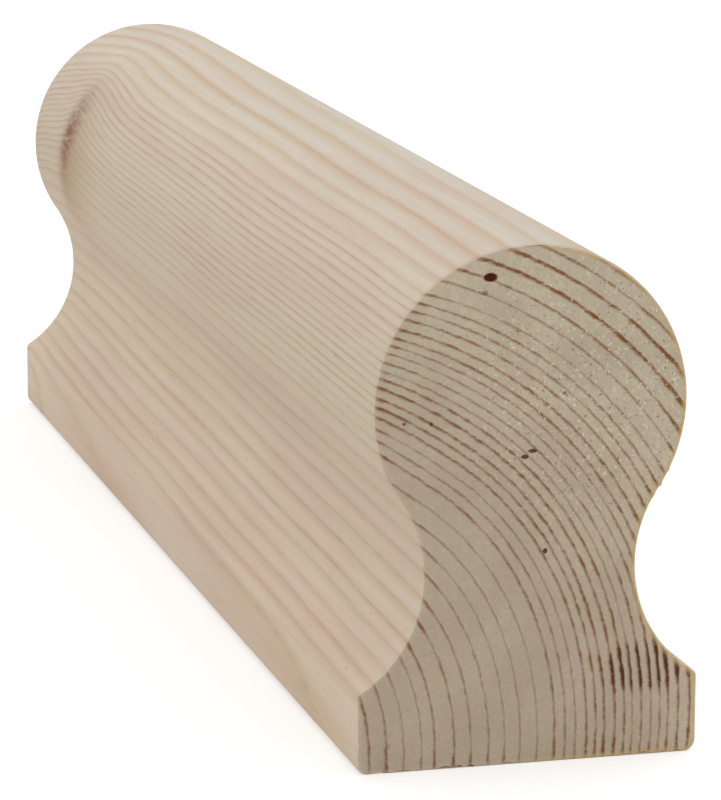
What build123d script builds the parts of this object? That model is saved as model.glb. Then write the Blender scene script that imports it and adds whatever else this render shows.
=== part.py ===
from build123d import *
import os
from math import sqrt

# Timber handrail: one planed length of softwood moulding.
# It has a full round head to grip, a cove down each side that makes the neck,
# and a broad flat base that is screwed down to brackets or a balustrade.
# Frame: +Y along the grain, +Z up, origin in the middle of the underside.
# All sizes are in millimetres.

# Driving dimensions
rail_length = 230.0
base_width = 45.0
base_edge_height = 10.5
neck_width = 28.0
head_diameter = 41.0
overall_height = 67.0
bottom_arris_radius = 1.5
shoulder_arris_radius = 1.0

# Head: a full round whose top is the top of the rail
head_radius = head_diameter / 2
head_centre_z = overall_height - head_radius
top_point = (0, overall_height)

# Coves: one arc each. It starts at the shoulder of the base, stands upright where the neck
# is narrowest and runs into the head without a corner. The shoulder and the head fix how
# high above the shoulder the neck lies: that rise is the root of
# curl * rise**2 - 2 * reach * rise + balance = 0
half_neck = neck_width / 2
head_overhang = head_radius - half_neck
shoulder_overhang = base_width / 2 - half_neck
reach = head_centre_z - base_edge_height
curl = 1 - head_overhang / shoulder_overhang
balance = reach**2 - head_overhang * (head_radius + half_neck + shoulder_overhang)
rise = balance / (reach + sqrt(reach**2 - curl * balance))
neck_z = base_edge_height + rise
cove_radius = (rise**2 + shoulder_overhang**2) / (2 * shoulder_overhang)
cove_centre_x = half_neck + cove_radius

# The cove ends and the head begins on the line that joins their centres
head_share = head_radius / (head_radius + cove_radius)
run_in_x = head_share * cove_centre_x
run_in_z = head_centre_z - head_share * (head_centre_z - neck_z)


def at_side(side, x, z):
    """A point of the section, to the right of the middle for side 1 and to the left for -1."""
    return (side * x, z)


def cove(side):
    """The hollow from the base's shoulder past the neck to the head."""
    return ThreePointArc(
        at_side(side, base_width / 2, base_edge_height),
        at_side(side, half_neck, neck_z),
        at_side(side, run_in_x, run_in_z),
    )


def make_section():
    """The moulding's cross-section, with its four long arrises eased."""
    with BuildSketch(Plane.XZ) as section:
        with BuildLine():
            Polyline(
                at_side(-1, base_width / 2, base_edge_height),
                at_side(-1, base_width / 2, 0),
                at_side(1, base_width / 2, 0),
                at_side(1, base_width / 2, base_edge_height),
            )
            cove(1)
            cove(-1)
            ThreePointArc(at_side(1, run_in_x, run_in_z), top_point, at_side(-1, run_in_x, run_in_z))
        make_face()
        bottom_corners = section.vertices().sort_by(Axis.Y)[:2]
        fillet(bottom_corners, bottom_arris_radius)
        widest = section.vertices().filter_by(lambda v: abs(abs(v.X) - base_width / 2) < 0.001)
        fillet(widest.sort_by(Axis.Y)[-2:], shoulder_arris_radius)
    return section.sketch


def make_handrail():
    """The section run along the grain and sawn square at both ends."""
    rail = extrude(make_section(), amount=rail_length / 2, both=True)
    rail.label = "handrail"
    return rail


os.makedirs("parts", exist_ok=True)
handrail = make_handrail()
export_step(handrail, "parts/handrail.step")
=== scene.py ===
import math

import bpy
import numpy as np
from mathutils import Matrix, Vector


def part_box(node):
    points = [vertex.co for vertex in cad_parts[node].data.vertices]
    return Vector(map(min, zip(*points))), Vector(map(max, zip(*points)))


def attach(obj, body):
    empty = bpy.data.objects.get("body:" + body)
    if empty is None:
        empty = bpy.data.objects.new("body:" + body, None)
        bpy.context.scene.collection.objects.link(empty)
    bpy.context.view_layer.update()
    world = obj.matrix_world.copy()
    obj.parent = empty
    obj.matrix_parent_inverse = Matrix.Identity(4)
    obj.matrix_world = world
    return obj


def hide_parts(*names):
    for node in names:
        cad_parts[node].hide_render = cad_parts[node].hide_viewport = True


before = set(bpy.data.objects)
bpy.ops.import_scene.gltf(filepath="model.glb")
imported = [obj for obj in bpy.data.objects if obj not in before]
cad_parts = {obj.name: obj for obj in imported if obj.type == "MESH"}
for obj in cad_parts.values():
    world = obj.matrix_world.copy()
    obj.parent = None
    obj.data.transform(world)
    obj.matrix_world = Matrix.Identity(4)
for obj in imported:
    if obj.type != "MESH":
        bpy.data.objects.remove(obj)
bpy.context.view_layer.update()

# A length of planed pine handrail. The rings of the tree run through it, and every surface shows
# the same rings: as arcs on the sawn ends, as long lines on the planed sides.
# Meshes are built in millimetres in the row frame and scaled to metres at the end.
MM = 0.001

# Section, as in the solid: width, height and length come from the frame
LOW, HIGH = (np.array(corner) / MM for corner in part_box("handrail"))
HALF_WIDTH = HIGH[0]
TOP = HIGH[2]
NEAR, FAR = LOW[1], HIGH[1]
BASE_EDGE_HEIGHT = 10.5
HALF_NECK = 14.0
HEAD_RADIUS = 20.5
BOTTOM_ARRIS = 1.5
SHOULDER_ARRIS = 1.0

# Spacing of the mesh, in mm
STEP_ROUND = 0.5
STEP_ALONG = 1.8
FIRST_STEP = 1.0
END_STRIP = 0.25
COLUMNS = 84

# The saw leaves the edges of both ends slightly broken, and tore fibres out on the near end's right
END_EASE = 0.22
TORN_HEIGHT = 35.5
TORN_REACH = 2.2

# A resin pocket near the top of the near end, as (x, z)
POCKET = (-5.5, 63.0)

# Growth rings: the pith lies outside the section, low on the left of the near end
PITH = np.array([-35.4, 5.8])

# The tree grew fast when young, then slowly, then fast again: (years, mean width of a ring in mm)
GROWTH = [(17, 2.26), (17, 1.34), (10, 2.17)]
UNEVEN_GROWTH = 0.13

# Groups of years with dark late wood: (distance from the pith, reach), in mm
DARK_YEARS = [(45.0, 2.2), (54.5, 1.6), (68.0, 3.0)]

# The tree isn't quite round. The ring size at a point is its distance from the pith, plus terms of
# its turn from the middle (the turn, its square and its cube), plus more terms times its age and
# its age squared.
MIDDLE_TURN = 0.8
MIDDLE_SIZE = 45.0
AGE_SPAN = 25.0
BULGE = (1.13, 2.5, 2.2)
BULGE_BY_AGE = (1.1, 2.4)
BULGE_BY_AGE_SQUARED = (1.1, 1.85)

# The younger rings reach further out on top: how much, from which turn and up to which size
TOP_REACH = 16.0
TOP_REACH_TURN = 0.1
TOP_REACH_SIZE = 62.0
TOP_REACH_FADE = 20.0

# The tree leans a little across the rail's line, so the rings drift as they run along it
DRIFT = np.array([0.016, 0.002])

# A branch grew out to the left near the far end and lifted the rings. The lift reaches further
# before the branch than after it, and fades out in the tree and round it.
KNOT_Y = 87.0
KNOT_SIZE = 54.0
KNOT_ANGLE = math.radians(71)
KNOT_LIFT = 3.0
KNOT_REACH_BEFORE = 19.0
KNOT_REACH_AFTER = 9.0
KNOT_REACH_OUT = 11.0
KNOT_REACH_ROUND = 0.21

# The branch's cut on the side, by its girth: the way round from the bottom left over the head
CUT_GIRTH = 57.0
CUT_SLANT = 0.22
SHADE_GIRTH = 52.0
BASE_GIRTH = -20.0

# Past the branch the pith bends to the right and down
FAR_SHIFT = np.array([3.6, -3.4])
FAR_SHIFT_FROM = 90.0

# An edge gap larger than any that the end grain's colours look at
NO_EDGE = 9.0


def cove_geometry():
    """Neck height, cove radius and the cove's centre, from the shoulder, the neck and the head."""
    head_z = TOP - HEAD_RADIUS
    head_over = HEAD_RADIUS - HALF_NECK
    shoulder_over = HALF_WIDTH - HALF_NECK
    reach = head_z - BASE_EDGE_HEIGHT
    curl = 1 - head_over / shoulder_over
    balance = reach**2 - head_over * (HEAD_RADIUS + HALF_NECK + shoulder_over)
    rise = balance / (reach + math.sqrt(reach**2 - curl * balance))
    radius = (rise**2 + shoulder_over**2) / (2 * shoulder_over)
    return BASE_EDGE_HEIGHT + rise, radius, HALF_NECK + radius, head_z


def arc(centre, radius, start, end):
    """Points along an arc and their outward normals, about STEP_ROUND apart, angles in radians."""
    count = max(4, int(math.ceil(abs(end - start) * radius / STEP_ROUND)))
    angles = np.linspace(start, end, count + 1)
    turn = np.c_[np.cos(angles), np.sin(angles)]
    return np.array(centre) + radius * turn, turn


def right_outline():
    """The right half of the section, from the bottom arris to the top of the head, with its normals."""
    neck_z, radius, cove_x, head_z = cove_geometry()
    arris_x = HALF_WIDTH - BOTTOM_ARRIS
    bottom, bottom_out = arc((arris_x, BOTTOM_ARRIS), BOTTOM_ARRIS, -math.pi / 2, 0)
    # The shoulder's arris touches the base's side and the cove from outside
    ease_x = HALF_WIDTH - SHOULDER_ARRIS
    ease_z = neck_z - math.sqrt((radius + SHOULDER_ARRIS) ** 2 - (cove_x - ease_x) ** 2)
    towards_cove = math.atan2(neck_z - ease_z, cove_x - ease_x)
    shoulder, shoulder_out = arc((ease_x, ease_z), SHOULDER_ARRIS, 0, towards_cove)
    side_count = int((ease_z - BOTTOM_ARRIS) / STEP_ROUND)
    side = np.c_[np.full(side_count, HALF_WIDTH), np.linspace(BOTTOM_ARRIS, ease_z, side_count)][1:-1]
    side_out = np.tile([1.0, 0.0], (len(side), 1))
    run_in = math.atan2(head_z - neck_z, -cove_x)
    cove, cove_in = arc((cove_x, neck_z), radius, towards_cove + math.pi, run_in)
    head, head_out = arc((0, head_z), HEAD_RADIUS, run_in - math.pi, math.pi / 2)
    points = np.concatenate([bottom, side, shoulder, cove[1:], head[1:]])
    normals = np.concatenate([bottom_out, side_out, shoulder_out, -cove_in[1:], head_out[1:]])
    return points, normals


def bell(value, centre, reach):
    """1 at the centre, falling off smoothly on both sides."""
    return np.exp(-(((value - centre) / reach) ** 2))


def bulge(turn, terms):
    """The terms times the turn, its square and so on."""
    return sum(term * turn**power for power, term in enumerate(terms, start=1))


def ring_size(x, y, z):
    """How far out in the tree a point lies, in mm of growth at the near end, and its angle."""
    along = y - NEAR
    far = np.clip((y - FAR_SHIFT_FROM) / (FAR - FAR_SHIFT_FROM), 0, 1) ** 2
    across = x - PITH[0] - DRIFT[0] * along - FAR_SHIFT[0] * far
    up = z - PITH[1] - DRIFT[1] * along - FAR_SHIFT[1] * far
    size = np.hypot(across, up)
    angle = np.arctan2(up, across)
    turn = angle - MIDDLE_TURN
    age = (size - MIDDLE_SIZE) / AGE_SPAN
    size = size + bulge(turn, BULGE)
    size = size + age * bulge(turn, BULGE_BY_AGE) + age**2 * bulge(turn, BULGE_BY_AGE_SQUARED)
    young = np.clip((TOP_REACH_SIZE - size) / TOP_REACH_FADE, 0, None)
    size = size - TOP_REACH * np.clip(turn - TOP_REACH_TURN, 0, None) ** 2 * young
    reach = np.where(y < KNOT_Y, KNOT_REACH_BEFORE, KNOT_REACH_AFTER)
    lift = bell(y, KNOT_Y, reach) * bell(size, KNOT_SIZE, KNOT_REACH_OUT)
    lift = lift * bell(angle, KNOT_ANGLE, KNOT_REACH_ROUND)
    # Slow waves along the grain
    wave = 0.12 * np.sin(y / 13 + x / 9) + 0.1 * np.sin(y / 29 - z / 12 + 1)
    return size - KNOT_LIFT * lift + wave * np.clip(along / 40, 0, 1), angle


def tree_rings():
    """Each ring's distance from the pith in mm, and how dark its late wood is, from the pith out."""
    rng = np.random.default_rng(11)
    widths = []
    for years, mean in GROWTH:
        uneven = 1 + rng.normal(0, UNEVEN_GROWTH, years)
        widths.append(mean * uneven / uneven.mean())
    sizes = np.concatenate([[0.0], np.cumsum(np.concatenate(widths))])
    darkness = rng.uniform(0.25, 0.65, len(sizes))
    for place, reach in DARK_YEARS:
        darkness = darkness + 0.4 * bell(sizes, place, reach)
    return sizes, darkness


RING_SIZES, RING_DARKNESS = tree_rings()


def growth(points, girth):
    """What the materials need at each point, as three vectors: ring, year and stain."""
    x, y, z = points.T
    size, angle = ring_size(x, y, z)
    numbers = np.arange(len(RING_SIZES))
    number = np.interp(size, RING_SIZES, numbers)
    dark = np.interp(number, numbers, RING_DARKNESS)
    width = np.interp(number, numbers[:-1] + 0.5, np.diff(RING_SIZES))
    # The cut branch: a narrow streaked band, sharp on its far side, in a wider soft shade
    past = y - KNOT_Y - CUT_SLANT * (CUT_GIRTH - girth)
    band = bell(past, 1.0, np.where(past < 1, 5.5, 3.2)) * bell(girth, CUT_GIRTH, 7)
    shade = bell(past, 0, np.where(past < 0, 17.0, 5.0)) * bell(girth, SHADE_GIRTH, 10.5)
    around = angle * np.maximum(size, 5)
    unused = np.zeros(len(points))
    return np.c_[number, around, y], np.c_[dark, width, size], np.c_[band, shade, unused]


def worn_end(points, normals, y):
    """The outline where the saw broke the edges: pulled in a little, and ragged."""
    rng = np.random.default_rng(7 if y < 0 else 8)
    ease = END_EASE + rng.normal(0, 0.05, len(points))
    x, z = points.T
    # A few nicks along the bottom, and fibres torn out where the saw left the right side
    nicks = (z < 0.2) & (rng.random(len(points)) < 0.12)
    ease[nicks] += 0.15
    torn = bell(z, TORN_HEIGHT, TORN_REACH) * (x > 0) * (y < 0)
    ease = ease - torn * rng.uniform(-0.1, 0.3, len(points))
    return points - normals * np.clip(ease, -0.3, 0.6)[:, None]


def rail_mesh():
    """The rail as one closed mesh: planed sides, and a sawn face of rows and columns at each end."""
    right, right_normals = right_outline()
    rows = len(right)
    columns = np.linspace(-1, 1, COLUMNS + 1)
    steps_along = int(round((FAR - NEAR - 2 * FIRST_STEP) / STEP_ALONG))
    regular = np.linspace(NEAR + FIRST_STEP, FAR - FIRST_STEP, steps_along + 1)
    stations = np.concatenate([[NEAR, NEAR + END_STRIP], regular, [FAR - END_STRIP, FAR]])

    # Round the section once: up the right side, down the left, back along the bottom
    flip = [-1, 1]
    base = np.c_[columns[1:-1] * right[0][0], np.zeros(COLUMNS - 1)]
    loop = np.concatenate([right, right[:-1][::-1] * flip, base])
    down = np.tile([0.0, -1.0], (COLUMNS - 1, 1))
    normals = np.concatenate([right_normals, right_normals[:-1][::-1] * flip, down])
    around = len(loop)
    steps = np.hypot(*np.diff(right, axis=0).T)
    up = np.r_[0, np.cumsum(steps)]
    girth_loop = np.concatenate([2 * up[-1] - up, up[:-1][::-1], np.full(COLUMNS - 1, BASE_GIRTH)])

    verts, girth = [], []
    for y in stations:
        if y in (NEAR, FAR):
            ring = worn_end(loop, normals, y)
        else:
            ring = loop
        verts.append(np.c_[ring[:, 0], np.full(around, y), ring[:, 1]])
        girth.append(girth_loop)
    faces, marks = [], []
    for i in range(len(stations) - 1):
        a, b = i * around, (i + 1) * around
        for k in range(around):
            n = (k + 1) % around
            faces.append((a + k, a + n, b + n, b + k))
            marks.append(0)
    count = len(stations) * around

    # Sawn ends: the row at each height runs from the left point to the right one
    for station, first in ((0, True), (len(stations) - 1, False)):
        start = station * around
        y = stations[station]
        edge = verts[station]
        index = np.zeros((rows - 1, COLUMNS + 1), int)
        for r in range(rows - 1):
            to_right, to_left = r, 2 * (rows - 1) - r
            index[r, -1] = start + to_right
            index[r, 0] = start + to_left
            if r == 0:
                index[0, 1:-1] = start + 2 * rows - 1 + np.arange(COLUMNS - 1)
                continue
            share = (columns[1:-1] + 1) / 2
            row = edge[to_left] * (1 - share[:, None]) + edge[to_right] * share[:, None]
            verts.append(row)
            girth.append(np.full(COLUMNS - 1, BASE_GIRTH))
            index[r, 1:-1] = count + np.arange(COLUMNS - 1)
            count += COLUMNS - 1
        apex = start + rows - 1
        for r in range(rows - 2):
            for c in range(COLUMNS):
                quad = (index[r, c], index[r, c + 1], index[r + 1, c + 1], index[r + 1, c])
                faces.append(quad if first else quad[::-1])
                marks.append(1)
        for c in range(COLUMNS):
            tip = (index[-1, c], index[-1, c + 1], apex)
            faces.append(tip if first else tip[::-1])
            marks.append(1)
    return np.concatenate(verts), np.concatenate(girth), faces, marks


def rim_of(points):
    """How far each point near an end lies from the section's outline, in mm, and NO_EDGE elsewhere."""
    right, _ = right_outline()
    outline = np.concatenate([right, right * [-1, 1]])
    near = np.full(len(points), NO_EDGE)
    end = (points[:, 1] < NEAR + END_STRIP + 0.05) | (points[:, 1] > FAR - END_STRIP - 0.05)
    where = points[end][:, [0, 2]]
    away = where[:, None] - outline[None]
    gaps = np.hypot(away[..., 0], away[..., 1]).min(1)
    near[end] = np.minimum(gaps, where[:, 1])
    return near


def sink(points):
    """Small hollows in the near end: the resin pocket, and the sprung corner at the bottom left."""
    x, y, z = points.T
    face = y < NEAR + 0.1
    depth = 0.5 * bell(x, POCKET[0], 0.8) * bell(z, POCKET[1], 0.5)
    # The corner inside the first ring that shows has sprung back, most next to the ring
    first_ring = RING_SIZES[RING_SIZES > 14.0][0]
    gap = first_ring - ring_size(x, y, z)[0]
    depth = depth + 0.55 * np.where(gap > 0, np.exp(-gap / 1.1), 0) * np.clip((6.5 - z) / 3, 0, 1)
    points[face, 1] += np.clip(depth[face], 0, 0.8)
    return points


def build_rail():
    points, girth, faces, marks = rail_mesh()
    rim = rim_of(points)
    points = sink(points)
    mesh = bpy.data.meshes.new("pine_handrail")
    mesh.from_pydata((points * MM).tolist(), [], [tuple(int(i) for i in f) for f in faces])
    ring, year, stain = growth(points, girth)
    fields = {"ring": ring, "year": year, "stain": stain}
    for name, values in fields.items():
        layer = mesh.attributes.new(name, "FLOAT_VECTOR", "POINT")
        layer.data.foreach_set("vector", values.astype(np.float32).ravel())
    layer = mesh.attributes.new("edge_gap", "FLOAT", "POINT")
    layer.data.foreach_set("value", rim.astype(np.float32))
    mesh.polygons.foreach_set("material_index", np.array(marks, np.int32))
    mesh.update()
    mesh.validate()
    mesh.shade_smooth()
    mesh.set_sharp_from_angle(angle=math.radians(40))
    rail = bpy.data.objects.new("pine_handrail", mesh)
    bpy.context.scene.collection.objects.link(rail)
    return rail


def srgb(r, g, b):
    """A colour given as 0 to 255 on screen, in the renderer's linear values."""
    linear = [c / 255 / 12.92 if c <= 10 else ((c / 255 + 0.055) / 1.055) ** 2.4 for c in (r, g, b)]
    return (*linear, 1.0)


class Graph:
    """Short words for making a node material."""

    def __init__(self, name):
        self.material = bpy.data.materials.new(name)
        self.material.use_nodes = True
        self.tree = self.material.node_tree
        self.tree.nodes.clear()

    def node(self, kind, **settings):
        made = self.tree.nodes.new(kind)
        for key, value in settings.items():
            setattr(made, key, value)
        return made

    def plug(self, socket, value):
        if isinstance(value, bpy.types.NodeSocket):
            self.tree.links.new(value, socket)
        else:
            socket.default_value = value

    def math(self, operation, a, b=0.0, c=0.0):
        made = self.node("ShaderNodeMath", operation=operation)
        for socket, value in zip(made.inputs, (a, b, c)):
            self.plug(socket, value)
        return made.outputs[0]

    def times(self, first, *others):
        for other in others:
            first = self.math("MULTIPLY", first, other)
        return first

    def plus(self, first, *others):
        for other in others:
            first = self.math("ADD", first, other)
        return first

    def minus(self, a, b):
        return self.math("SUBTRACT", a, b)

    def ramp(self, value, low, high, to_low=0.0, to_high=1.0):
        """Smooth step of value from low to high."""
        made = self.node("ShaderNodeMapRange", interpolation_type="SMOOTHSTEP")
        for socket, number in zip(made.inputs, (value, low, high, to_low, to_high)):
            self.plug(socket, number)
        return made.outputs[0]

    def mix(self, factor, a, b):
        made = self.node("ShaderNodeMix", data_type="RGBA")
        self.plug(made.inputs[0], factor)
        self.plug(made.inputs[6], a)
        self.plug(made.inputs[7], b)
        return made.outputs[2]

    def tints(self, value, stops):
        """A colour by value, through stops of (value, colour)."""
        low, high = stops[0][0], stops[-1][0]
        made = self.node("ShaderNodeValToRGB")
        scaled = self.node("ShaderNodeMapRange")
        for socket, number in zip(scaled.inputs, (value, low, high, 0.0, 1.0)):
            self.plug(socket, number)
        self.plug(made.inputs[0], scaled.outputs[0])
        ramp = made.color_ramp
        while len(ramp.elements) < len(stops):
            ramp.elements.new(0.5)
        for element, (at, colour) in zip(ramp.elements, stops):
            element.position = (at - low) / (high - low)
            element.color = srgb(*colour)
        return made.outputs[0]

    def split(self, vector):
        made = self.node("ShaderNodeSeparateXYZ")
        self.plug(made.inputs[0], vector)
        return made.outputs

    def join(self, x, y, z):
        made = self.node("ShaderNodeCombineXYZ")
        for socket, value in zip(made.inputs, (x, y, z)):
            self.plug(socket, value)
        return made.outputs[0]

    def scaled(self, vector, factors):
        made = self.node("ShaderNodeVectorMath", operation="MULTIPLY")
        self.plug(made.inputs[0], vector)
        made.inputs[1].default_value = factors
        return made.outputs[0]

    def noise(self, vector, scale=1.0, detail=2.0, roughness=0.5):
        made = self.node("ShaderNodeTexNoise")
        self.plug(made.inputs["Vector"], vector)
        made.inputs["Scale"].default_value = scale
        made.inputs["Detail"].default_value = detail
        made.inputs["Roughness"].default_value = roughness
        return made.outputs["Fac"]

    def patch(self, x, z, centre_x, centre_z, half_width, half_height, core, strength):
        """An oval: full strength inside the core's share of it, fading out a little past its rim."""
        across = self.times(self.minus(x, centre_x), 1 / half_width)
        up = self.times(self.minus(z, centre_z), 1 / half_height)
        away = self.plus(self.times(across, across), self.times(up, up))
        return self.ramp(away, core, 1.25, strength, 0.0)

    def attribute(self, name, output="Vector"):
        return self.node("ShaderNodeAttribute", attribute_name=name).outputs[output]

    def position(self):
        """The point of the surface, in mm."""
        return self.scaled(self.node("ShaderNodeTexCoord").outputs["Object"], (1 / MM,) * 3)

    def finish(self, colour, roughness, height, depth):
        shader = self.node("ShaderNodeBsdfPrincipled")
        self.plug(shader.inputs["Base Color"], colour)
        self.plug(shader.inputs["Roughness"], roughness)
        shader.inputs["Specular IOR Level"].default_value = 0.15
        bump = self.node("ShaderNodeBump")
        bump.inputs["Strength"].default_value = 1.0
        bump.inputs["Distance"].default_value = depth * MM
        self.plug(bump.inputs["Height"], height)
        self.plug(shader.inputs["Normal"], bump.outputs[0])
        out = self.node("ShaderNodeOutputMaterial")
        self.plug(out.inputs["Surface"], shader.outputs[0])
        return self.material


class Rings:
    """Where a surface point lies between the dark lines of its year's ring."""

    def __init__(self, g, waver_place, waver):
        number, self.around, self.along = g.split(g.attribute("ring"))
        self.dark, self.width, self.size = g.split(g.attribute("year"))
        shift = g.times(g.minus(g.noise(waver_place, 1.0, 4.0, 0.6), 0.5), waver)
        self.number = g.plus(number, g.math("DIVIDE", shift, self.width))
        self.line_number = g.math("FLOOR", g.plus(self.number, 0.5))
        part = g.math("FRACT", self.number)
        self.before = g.times(g.minus(1.0, part), self.width)
        self.after = g.times(part, self.width)
        self.g = g

    def line(self, before, after):
        """1 on the late wood's line, falling off over so many mm before it and after it."""
        g = self.g
        inner = g.ramp(self.before, 0.0, before, 1.0, 0.0)
        outer = g.ramp(self.after, 0.0, after, 1.0, 0.0)
        return g.math("MAXIMUM", inner, outer)


def planed_wood():
    """Sides: pale planed pine, with the rings cut lengthwise."""
    g = Graph("planed_pine")
    place = g.position()
    rings = Rings(g, g.scaled(place, (0.4, 0.04, 0.4)), 0.5)
    band, shade, _ = g.split(g.attribute("stain"))
    fibre = g.noise(g.scaled(place, (5.0, 0.1, 5.0)), 1.0, 3.0, 0.6)
    streak = g.noise(g.scaled(place, (1.0, 0.02, 1.0)), 1.0, 3.0, 0.6)
    cloud = g.noise(g.scaled(place, (0.1, 0.012, 0.1)), 1.0, 2.0)

    # Early wood: a tint by ring size. Since the size follows the way round the section, it is partly the
    # wood's own tone and partly painted light and shade: lighter low on the flare and cove, darker along the
    # head's side
    colour = g.tints(rings.size, [
        (20, (232, 213, 193)), (42, (216, 204, 184)), (64, (227, 215, 198)), (75, (220, 213, 202)),
    ])
    colour = g.mix(g.ramp(cloud, 0.4, 0.7, 0.0, 0.3), colour, srgb(216, 190, 170))
    colour = g.mix(g.ramp(streak, 0.3, 0.75, 0.0, 0.3), colour, srgb(206, 184, 156))
    colour = g.mix(g.ramp(fibre, 0.5, 0.8, 0.0, 0.25), colour, srgb(190, 166, 138))

    # Late wood: a soft band over each year's second half, and a broken fine line at its end
    each_line = g.times(rings.line_number, 5.3)
    dash_place = g.join(g.times(rings.along, 0.16), each_line, g.times(rings.around, 0.5))
    dash = g.noise(dash_place, 1.0, 3.0, 0.7)
    soft_before = g.math("MINIMUM", g.times(rings.width, 0.5), 1.1)
    soft_after = g.math("MINIMUM", g.times(rings.width, 0.28), 0.6)
    soft = rings.line(soft_before, soft_after)
    soft = g.times(soft, g.math("MULTIPLY_ADD", rings.dark, 0.6, 0.4))
    hue = g.mix(g.ramp(cloud, 0.4, 0.6), srgb(208, 184, 142), srgb(208, 176, 148))
    colour = g.mix(g.times(soft, 0.75), colour, hue)
    core = g.times(rings.line(0.26, 0.13), rings.dark, g.ramp(dash, 0.35, 0.65, 0.15, 1.0))
    core = g.times(core, g.ramp(rings.size, 60.0, 66.0, 1.0, 0.35), g.ramp(rings.size, 13.0, 21.0, 0.5, 1.0))
    # The base's right side is cut along a ring, where the line is broad and faint
    across = g.split(place)[0]
    core = g.times(core, g.ramp(across, HALF_WIDTH - 0.7, HALF_WIDTH - 0.1, 1.0, 0.3))
    core_hue = g.mix(g.ramp(dash, 0.5, 0.7), srgb(168, 128, 96), srgb(160, 132, 84))
    colour = g.mix(g.times(core, 0.65), colour, core_hue)

    # Resin canals: sparse short dashes
    canal = g.noise(g.scaled(place, (2.6, 0.5, 2.6)), 1.0, 1.0)
    colour = g.mix(g.ramp(canal, 0.74, 0.8, 0.0, 0.45), colour, srgb(150, 126, 84))

    # The cut branch
    colour = g.mix(g.times(shade, 0.7), colour, srgb(184, 156, 118))
    lick = g.noise(g.join(g.times(rings.number, 1.7), g.times(rings.along, 0.2), 0.0), 1.0, 3.0, 0.6)
    colour = g.mix(g.times(band, g.ramp(lick, 0.36, 0.56, 0.3, 1.0)), colour, srgb(146, 98, 86))

    height = g.plus(g.times(rings.line(0.5, 0.2), 0.5), g.times(fibre, 0.8))
    rough = g.ramp(soft, 0.0, 1.0, 0.72, 0.6)
    return g.finish(colour, rough, height, 0.025)


# Marks on the near end: (x, z, half width, half height, strength), in mm
NEAR_SPOTS = [
    (-5.45, 63.0, 0.95, 0.6, 1.0), (-6.2, 61.1, 0.45, 0.3, 0.5), (-0.8, 40.0, 0.55, 0.3, 0.9),
    (0.2, 40.7, 0.6, 0.28, 0.9), (2.0, 27.7, 0.32, 0.38, 0.9), (-16.5, 45.0, 0.25, 0.2, 0.8),
    (-13.0, 44.8, 0.25, 0.25, 0.8), (4.3, 47.9, 0.3, 0.25, 0.6),
]


def sawn_wood():
    """Ends: greyer end grain, with brown ring lines, pale flecks and fine pores."""
    g = Graph("sawn_end_grain")
    place = g.position()
    x, y, z = g.split(place)
    rings = Rings(g, g.scaled(place, (0.9, 0.9, 0.9)), 0.42)
    gap = g.attribute("edge_gap", "Fac")
    mottle = g.noise(place, 1.1, 3.0, 0.7)
    cloud = g.noise(place, 0.12, 2.0)
    grit = g.noise(place, 3.2, 3.0, 0.7)

    colour = g.tints(rings.size, [
        (38, (205, 189, 166)), (60, (217, 204, 177)),
    ])
    colour = g.mix(g.ramp(mottle, 0.4, 0.6, 0.0, 0.35), colour, srgb(198, 176, 162))
    colour = g.mix(g.ramp(cloud, 0.4, 0.65, 0.0, 0.4), colour, srgb(192, 174, 152))
    colour = g.mix(g.ramp(grit, 0.45, 0.75, 0.0, 0.35), colour, srgb(172, 156, 122))

    # Late wood: beaded lines, thick and yellow-brown in places, thin and mauve between
    bead_place = g.join(g.times(rings.around, 0.42), g.times(rings.line_number, 3.7), 0.0)
    bead = g.noise(bead_place, 1.0, 4.0, 0.72)
    edge = g.ramp(gap, 0.5, 2.6, 0.35, 0.0)
    near_face = g.math("LESS_THAN", y, 0.0)
    pitch = g.times(g.patch(x, z, 15.5, 11.8, 6.5, 3.6, 0.4, 1.0), near_face)
    body = g.plus(g.times(rings.dark, g.ramp(bead, 0.3, 0.65, 0.45, 1.15)), edge, g.times(pitch, 0.5))
    body = g.math("MINIMUM", body, 1.2)
    before = g.math("MULTIPLY_ADD", body, 0.38, 0.2)
    after = g.math("MULTIPLY_ADD", body, 0.24, 0.1)
    line = rings.line(before, after)
    strength = g.math("MINIMUM", g.times(line, g.math("MULTIPLY_ADD", body, 0.95, 0.2)), 0.95)
    late = g.mix(g.ramp(bead, 0.42, 0.58), srgb(156, 110, 84), srgb(134, 82, 22))
    late = g.mix(pitch, late, srgb(92, 30, 6))
    colour = g.mix(strength, colour, late)

    # Pale torn flecks, thickest on the right of the head, and dark pores
    torn = g.math("MULTIPLY_ADD", g.patch(x, z, 9.0, 49.0, 20.0, 20.0, 0.06, 1.0), 0.75, 0.25)
    fleck = g.noise(place, 2.3, 2.0, 0.6)
    colour = g.mix(g.times(g.ramp(fleck, 0.6, 0.7), torn, 0.75), colour, srgb(244, 234, 212))
    pore = g.noise(g.scaled(place, (2.9, 2.9, 2.9)), 1.0, 1.0)
    colour = g.mix(g.times(g.ramp(pore, 0.67, 0.74), torn, 0.65), colour, srgb(116, 92, 58))

    # A paler rim along each end's outline, strongest and yellowest on the right
    rim = g.times(g.ramp(gap, 0.1, 0.95, 1.0, 0.0), g.ramp(x, -6.0, 6.0, 0.4, 0.8))
    colour = g.mix(rim, colour, g.mix(g.ramp(x, -6.0, 6.0), srgb(222, 200, 176), srgb(222, 190, 128)))

    for sx, sz, wide, tall, strong in NEAR_SPOTS:
        ragged = g.math("MULTIPLY_ADD", grit, 0.5, 0.3)
        spot = g.times(g.patch(x, z, sx, sz, wide, tall, ragged, strong), near_face)
        colour = g.mix(spot, colour, srgb(84, 34, 22))

    height = g.plus(g.times(line, 0.5), grit, g.times(fleck, 0.8))
    return g.finish(colour, 0.85, height, 0.07)


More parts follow.
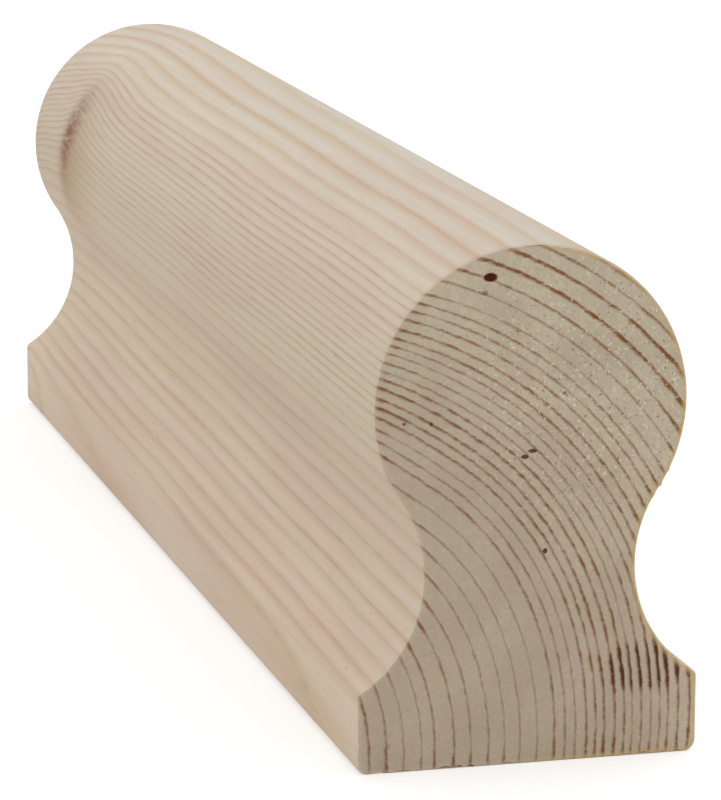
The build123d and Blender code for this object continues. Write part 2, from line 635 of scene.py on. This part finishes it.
def background_rays(tree):
    """1 for a ray that shows the background: from the camera, off gloss or through glass."""
    path = tree.nodes.new("ShaderNodeLightPath")
    seen = path.outputs["Is Camera Ray"]
    for kind in ("Is Glossy Ray", "Is Transmission Ray"):
        either = tree.nodes.new("ShaderNodeMath")
        either.operation = "MAXIMUM"
        tree.links.new(seen, either.inputs[0])
        tree.links.new(path.outputs[kind], either.inputs[1])
        seen = either.outputs[0]
    return seen


# Strengths of the light from the world, of the floor's own glow as seen, and of white
WORLD_LIGHT = 0.64
FLOOR_GLOW = 0.45
WHITE = 1.0


def build_stage():
    """Pale floor under the rail, white to the camera but still holding the rail's shadow."""
    bpy.ops.mesh.primitive_plane_add(size=6, location=(0, 0, LOW[2] * MM))
    floor = bpy.context.object
    floor.name = "floor"
    g = Graph("pale_floor")
    matt = g.node("ShaderNodeBsdfDiffuse")
    matt.inputs["Color"].default_value = (0.8, 0.8, 0.79, 1)
    glow = g.node("ShaderNodeEmission")
    g.plug(glow.inputs["Strength"], g.times(background_rays(g.tree), FLOOR_GLOW))
    both = g.node("ShaderNodeAddShader")
    g.plug(both.inputs[0], matt.outputs[0])
    g.plug(both.inputs[1], glow.outputs[0])
    out = g.node("ShaderNodeOutputMaterial")
    g.plug(out.inputs["Surface"], both.outputs[0])
    floor.data.materials.append(g.material)


def build_world():
    world = bpy.data.worlds.new("studio")
    bpy.context.scene.world = world
    world.use_nodes = True
    tree = world.node_tree
    tree.nodes.clear()
    soft = tree.nodes.new("ShaderNodeBackground")
    soft.inputs["Strength"].default_value = WORLD_LIGHT
    white = tree.nodes.new("ShaderNodeBackground")
    white.inputs["Strength"].default_value = WHITE
    choose = tree.nodes.new("ShaderNodeMixShader")
    tree.links.new(background_rays(tree), choose.inputs[0])
    tree.links.new(soft.outputs[0], choose.inputs[1])
    tree.links.new(white.outputs[0], choose.inputs[2])
    for background in (soft, white):
        background.inputs["Color"].default_value = (1, 1, 1, 1)
    out = tree.nodes.new("ShaderNodeOutputWorld")
    tree.links.new(choose.outputs[0], out.inputs["Surface"])


def add_softbox(name, place, aim, size, power):
    lamp = bpy.data.lights.new(name, "AREA")
    lamp.shape = "RECTANGLE"
    lamp.size, lamp.size_y = size
    lamp.energy = power
    box = bpy.data.objects.new(name, lamp)
    box.location = place
    box.rotation_euler = (Vector(aim) - Vector(place)).to_track_quat("-Z", "Y").to_euler()
    bpy.context.scene.collection.objects.link(box)


def build_lights():
    middle = (0, 0, 0.03)
    add_softbox("overhead", (0.3, 0.25, 1.0), middle, (1.4, 1.4), 3.8)
    add_softbox("side_fill", (-1.1, -0.5, 0.45), middle, (0.9, 0.9), 2.0)


# The photograph's camera: level, to the left of the near end and a little above it
CAMERA_PLACE = (-0.1511, -0.6025, 0.1567)
CAMERA_TURN = (77.876, -0.179, -14.782)
CAMERA_LENS = 188.03


def build_camera():
    data = bpy.data.cameras.new("camera")
    data.lens = CAMERA_LENS
    data.sensor_width = 36
    data.clip_start = 0.05
    camera = bpy.data.objects.new("camera", data)
    camera.location = CAMERA_PLACE
    camera.rotation_euler = [math.radians(a) for a in CAMERA_TURN]
    bpy.context.scene.collection.objects.link(camera)
    bpy.context.scene.camera = camera


rail = build_rail()
rail.data.materials.append(planed_wood())
rail.data.materials.append(sawn_wood())
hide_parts("handrail")
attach(rail, "root")

build_stage()
build_world()
build_lights()
build_camera()
bpy.context.scene.view_settings.view_transform = "Standard"
